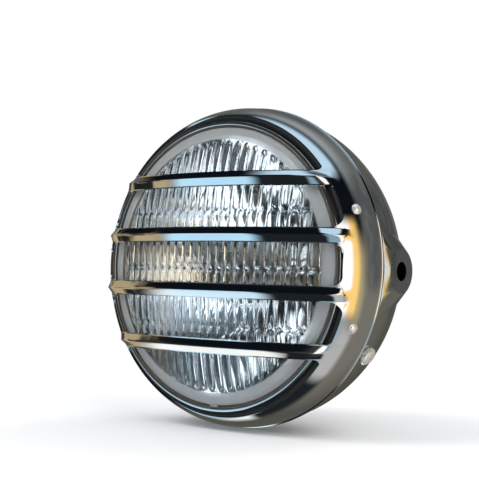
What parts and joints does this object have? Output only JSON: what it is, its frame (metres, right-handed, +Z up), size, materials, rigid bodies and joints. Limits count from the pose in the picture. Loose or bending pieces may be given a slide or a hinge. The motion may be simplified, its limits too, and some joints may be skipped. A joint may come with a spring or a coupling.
{
  "type": "motorcycle headlight with a bar grille",
  "caption": "Round chrome motorcycle headlight with a fluted glass lens behind a rim pressed into four bowed bars, and bolt ears on the sides of its round shell.",
  "frame": {"origin": "The point where the line of the two ear bolts crosses the lamp's own axis, which is also the middle of its box.", "axes": "The lens faces -Y along the lamp axis, +X points to the right-hand ear as seen in the picture, and +Z is up."},
  "size_m": [0.1812, 0.1318, 0.1812],
  "materials": {
    "shell_chrome": "dark polished plating",
    "rim_chrome": "mirror polished plating",
    "ring_metal": "polished plating",
    "fastener_chrome": "bright plating",
    "lens_glass": "clear pressed glass",
    "bulb_glass": "clear glass",
    "mirror_metal": "vacuum coated mirror",
    "seal": "hatched dark seal",
    "rubber": "matt black",
    "cap_metal": "plain stamped steel",
    "ceramic": "pale moulded insulator",
    "contact_brass": "tinned brass",
    "tungsten": "coiled wire",
    "spring_steel": "bright spring steel",
    "zinc_steel": "zinc plated steel"
  },
  "bodies": {
    "root": {"bucket": "shell_chrome", "grille_rim": "rim_chrome", "rim_gasket": "rubber", "lens": "lens_glass", "lens_seal": "seal", "lamp_ring": "ring_metal", "reflector": "mirror_metal", "bulb_glass": "bulb_glass", "bulb_cap": "cap_metal", "bulb_insulator": "ceramic", "bulb_terminals": "contact_brass", "low_beam_shield": "cap_metal", "low_beam_filament": "tungsten", "high_beam_filament": "tungsten", "bulb_clip": "spring_steel", "bulb_boot": "rubber", "cable_grommet": "rubber", "rivet_upper_right": "fastener_chrome", "rivet_lower_right": "fastener_chrome", "rivet_upper_left": "fastener_chrome", "rivet_lower_left": "fastener_chrome", "retaining_clip_upper_right": "spring_steel", "retaining_clip_lower_right": "spring_steel", "retaining_clip_upper_left": "spring_steel", "retaining_clip_lower_left": "spring_steel", "rim_screw_right": "fastener_chrome", "rim_screw_left": "fastener_chrome", "screw_tab_right": "zinc_steel", "screw_tab_left": "zinc_steel", "screw_nut_right": "zinc_steel", "screw_nut_left": "zinc_steel", "top_hook": "zinc_steel"}
  },
  "joints": []
}
